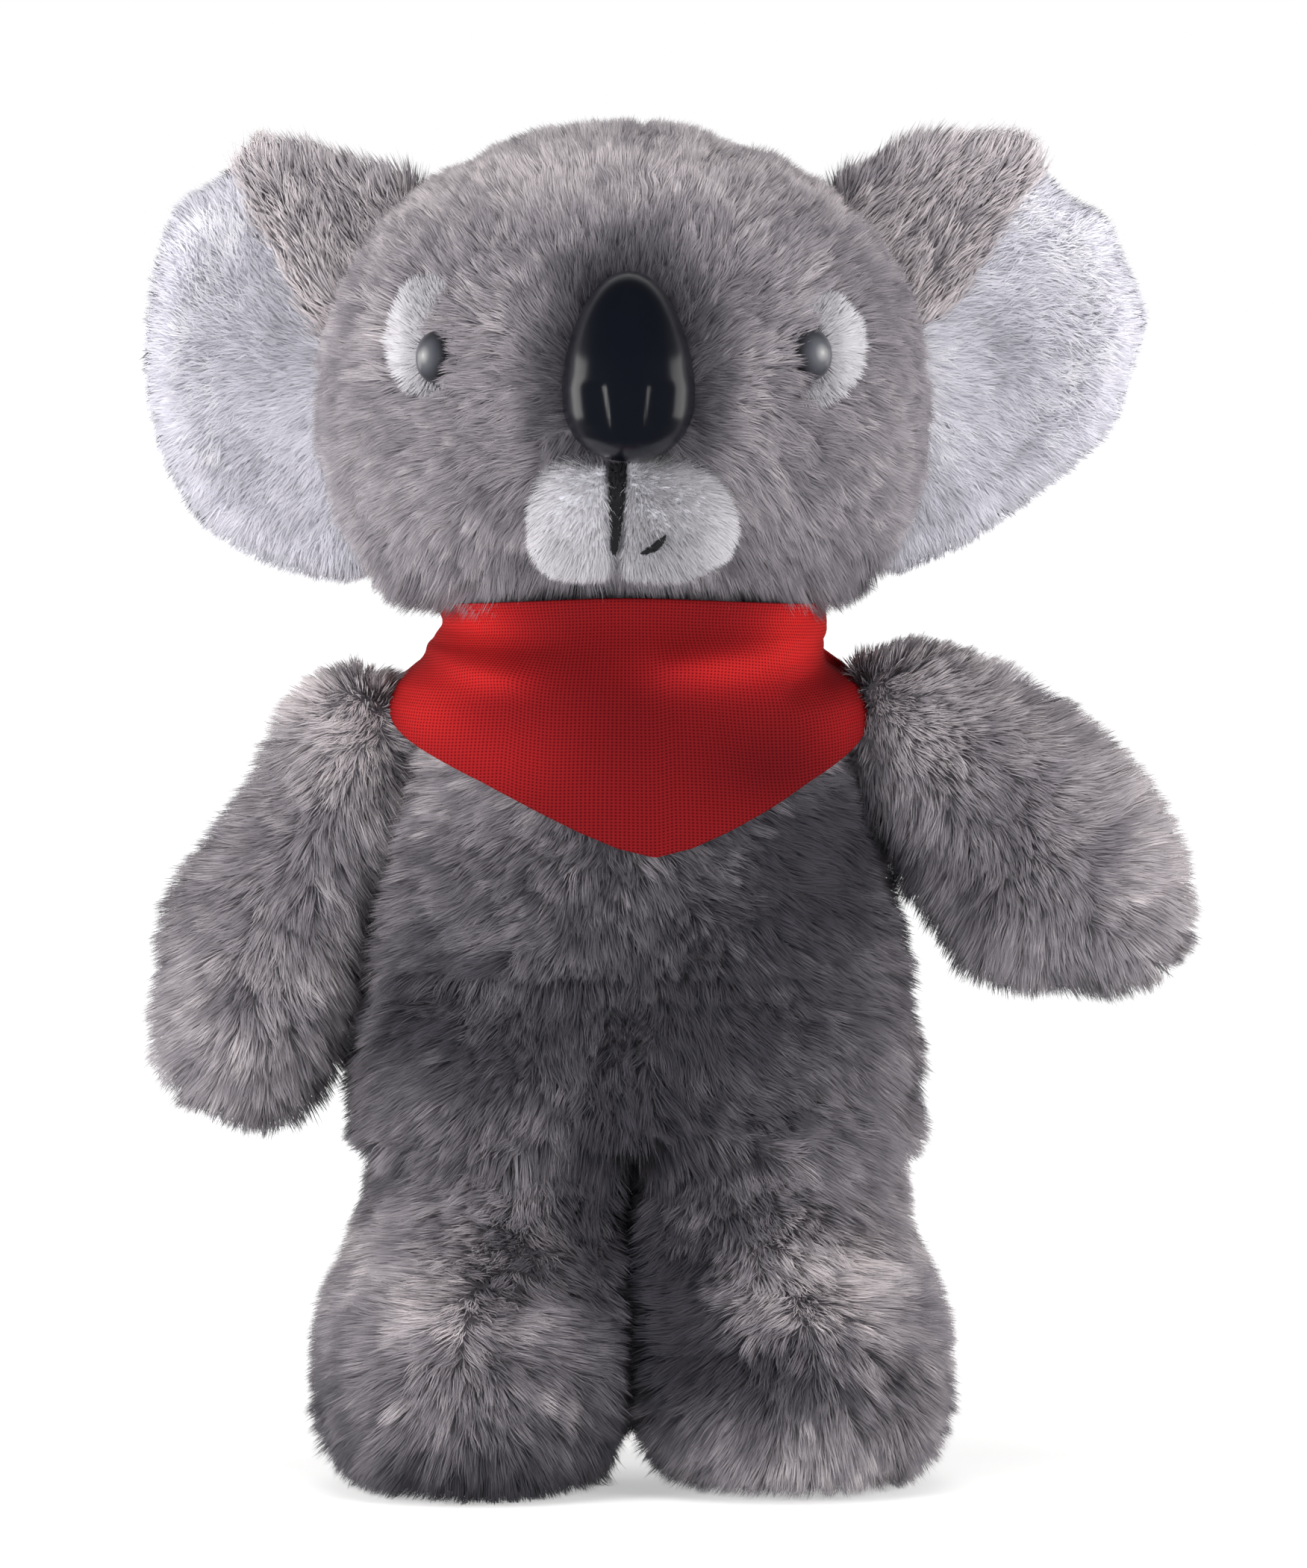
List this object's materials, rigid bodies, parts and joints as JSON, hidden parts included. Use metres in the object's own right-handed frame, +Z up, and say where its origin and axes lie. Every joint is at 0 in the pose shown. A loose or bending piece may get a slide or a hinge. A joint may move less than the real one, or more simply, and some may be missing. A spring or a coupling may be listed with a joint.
{
  "type": "plush koala",
  "caption": "Standing plush koala: shaggy grey body, short-pile head, cupped ears with white fronts, glossy nose and domed eyes, red knit bandana; head, ears and limbs move.",
  "frame": {"origin": "centre of the bottom of the whole toy's box, on the floor that its soles stand on", "axes": "+Z up, the toy faces -Y, its own left side is at +X"},
  "size_m": [0.231, 0.121, 0.2962],
  "materials": {
    "grey_plush": "shaggy pile",
    "white_plush": "short pile",
    "stuffing": "loose fibre",
    "red_knit": "fine knit",
    "black_plastic": "gloss",
    "washer_plastic": "matte",
    "black_thread": "matte"
  },
  "bodies": {
    "torso": {"torso_front_panel": "grey_plush", "torso_back_panel": "grey_plush", "torso_stuffing": "stuffing", "bandana": "red_knit", "bandana_knot": "red_knit"},
    "neck": {"neck_stuffing": "stuffing"},
    "head": {"head_front_panel": "grey_plush", "head_back_panel": "grey_plush", "head_stuffing": "stuffing", "nose": "black_plastic", "nose_washer": "washer_plastic", "muzzle_pad": "white_plush", "philtrum_stitch": "black_thread", "mouth_stitch": "black_thread", "left_eye": "black_plastic", "left_eye_washer": "washer_plastic", "left_eye_patch": "white_plush", "right_eye": "black_plastic", "right_eye_washer": "washer_plastic", "right_eye_patch": "white_plush"},
    "left_ear": {"left_ear_front": "white_plush", "left_ear_back": "grey_plush"},
    "left_arm": {"left_arm_skin": "grey_plush", "left_arm_stuffing": "stuffing"},
    "left_leg": {"left_leg_skin": "grey_plush", "left_leg_stuffing": "stuffing", "left_foot_sole": "grey_plush"},
    "right_ear": {"right_ear_front": "white_plush", "right_ear_back": "grey_plush"},
    "right_arm": {"right_arm_skin": "grey_plush", "right_arm_stuffing": "stuffing"},
    "right_leg": {"right_leg_skin": "grey_plush", "right_leg_stuffing": "stuffing", "right_foot_sole": "grey_plush"}
  },
  "joints": [
    {"name": "neck_turn", "type": "hinge", "parent": "torso", "child": "neck", "pos_m": [-0.01059, 0.0115, 0.202], "axis": [0, 0, 1], "range_deg": [-35, 35]},
    {"name": "neck_nod", "type": "hinge", "parent": "neck", "child": "head", "pos_m": [-0.01059, 0.0115, 0.202], "axis": [1, 0, 0], "range_deg": [-8, 8]},
    {"name": "right_shoulder", "type": "hinge", "parent": "torso", "child": "right_arm", "pos_m": [-0.07109, 0.0065, 0.166], "axis": [0, 1, 0], "range_deg": [0, 75]},
    {"name": "left_shoulder", "type": "hinge", "parent": "torso", "child": "left_arm", "pos_m": [0.04891, 0.0065, 0.165], "axis": [0, -1, 0], "range_deg": [-12, 45]},
    {"name": "right_hip", "type": "hinge", "parent": "torso", "child": "right_leg", "pos_m": [-0.03909, 0.0065, 0.08], "axis": [-1, 0, 0], "range_deg": [-10, 60]},
    {"name": "left_hip", "type": "hinge", "parent": "torso", "child": "left_leg", "pos_m": [0.01991, 0.0065, 0.08], "axis": [-1, 0, 0], "range_deg": [-10, 60]},
    {"name": "right_ear_fold", "type": "hinge", "parent": "head", "child": "right_ear", "pos_m": [-0.07109, 0.0225, 0.246], "axis": [0, 0, 1], "range_deg": [-25, 25], "stiffness_Nm_per_rad": 0.01},
    {"name": "left_ear_fold", "type": "hinge", "parent": "head", "child": "left_ear", "pos_m": [0.04891, 0.0225, 0.246], "axis": [0, 0, -1], "range_deg": [-25, 25], "stiffness_Nm_per_rad": 0.01}
  ]
}
